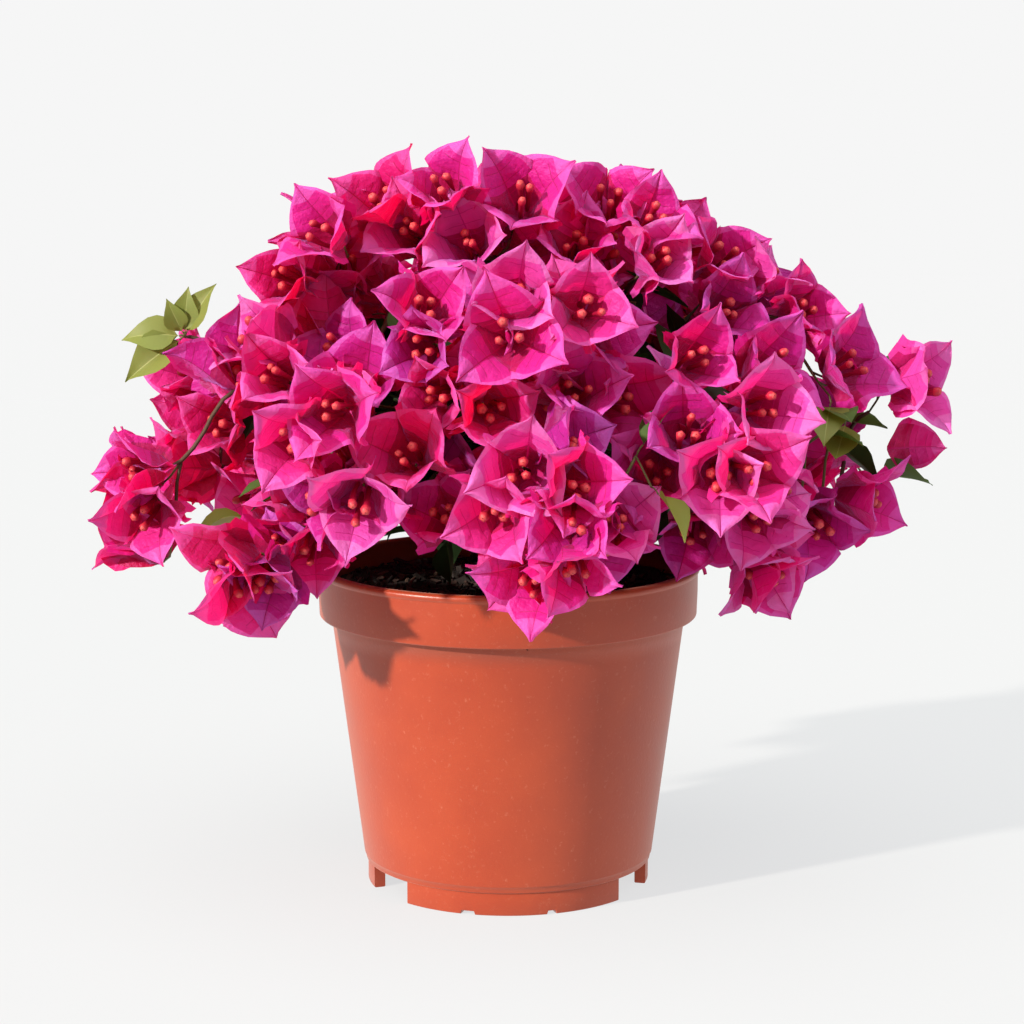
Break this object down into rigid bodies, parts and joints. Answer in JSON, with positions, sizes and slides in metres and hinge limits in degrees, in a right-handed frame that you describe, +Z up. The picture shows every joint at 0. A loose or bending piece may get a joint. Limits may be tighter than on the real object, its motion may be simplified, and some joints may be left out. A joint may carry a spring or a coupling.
{
  "type": "potted bougainvillea bush",
  "caption": "Bushy flowering bougainvillea, a wide mound of pointed papery bract clusters with a few leafy sprays, in a round tapered pot with a deep rim band and notched foot.",
  "frame": {"origin": "on the ground under the middle of the pot, which is also under the middle of the crown's bounding box", "axes": "+Z up, -Y towards the front, +X to the right of someone facing the front, where the two long sprays are"},
  "size_m": [0.4324, 0.3653, 0.3762],
  "materials": {
    "pot": "satin moulded polypropylene, terracotta colour",
    "compost": "damp peat compost",
    "bark": "thin brown bark",
    "blossom": "papery bracts",
    "foliage": "soft leaves"
  },
  "bodies": {
    "root": {"pot": "pot", "soil": "compost", "stem": "bark", "leader": "bark", "bough_shoulder_right": "bark", "bough_back_high_right": "bark", "bough_back_middle": "bark", "bough_back_high_left": "bark", "bough_shoulder_left": "bark", "bough_front_left": "bark", "bough_front_high": "bark", "bough_front_middle": "bark", "bough_front_right": "bark", "twig_spray_right_tip": "bark", "twig_spray_right_low": "bark", "twig_sprig_left": "bark", "mass_crown_top": "blossom", "mass_crown_top_left": "blossom", "mass_crown_top_right": "blossom", "mass_crown_top_back": "blossom", "mass_front_high": "blossom", "mass_front_left": "blossom", "mass_front_low": "blossom", "mass_front_middle": "blossom", "mass_front_right": "blossom", "mass_lower_right": "blossom", "mass_shoulder_right": "blossom", "mass_shoulder_left": "blossom", "mass_side_left": "blossom", "mass_hanging_left": "blossom", "mass_lower_left": "blossom", "mass_side_right": "blossom", "mass_back_high_left": "blossom", "mass_back_high_right": "blossom", "mass_back_middle": "blossom", "mass_back_low_left": "blossom", "mass_back_low_right": "blossom", "mass_spray_right_high": "blossom", "mass_spray_right_tip": "blossom", "mass_spray_right_low": "blossom", "mass_sprig_left": "foliage"}
  },
  "joints": []
}
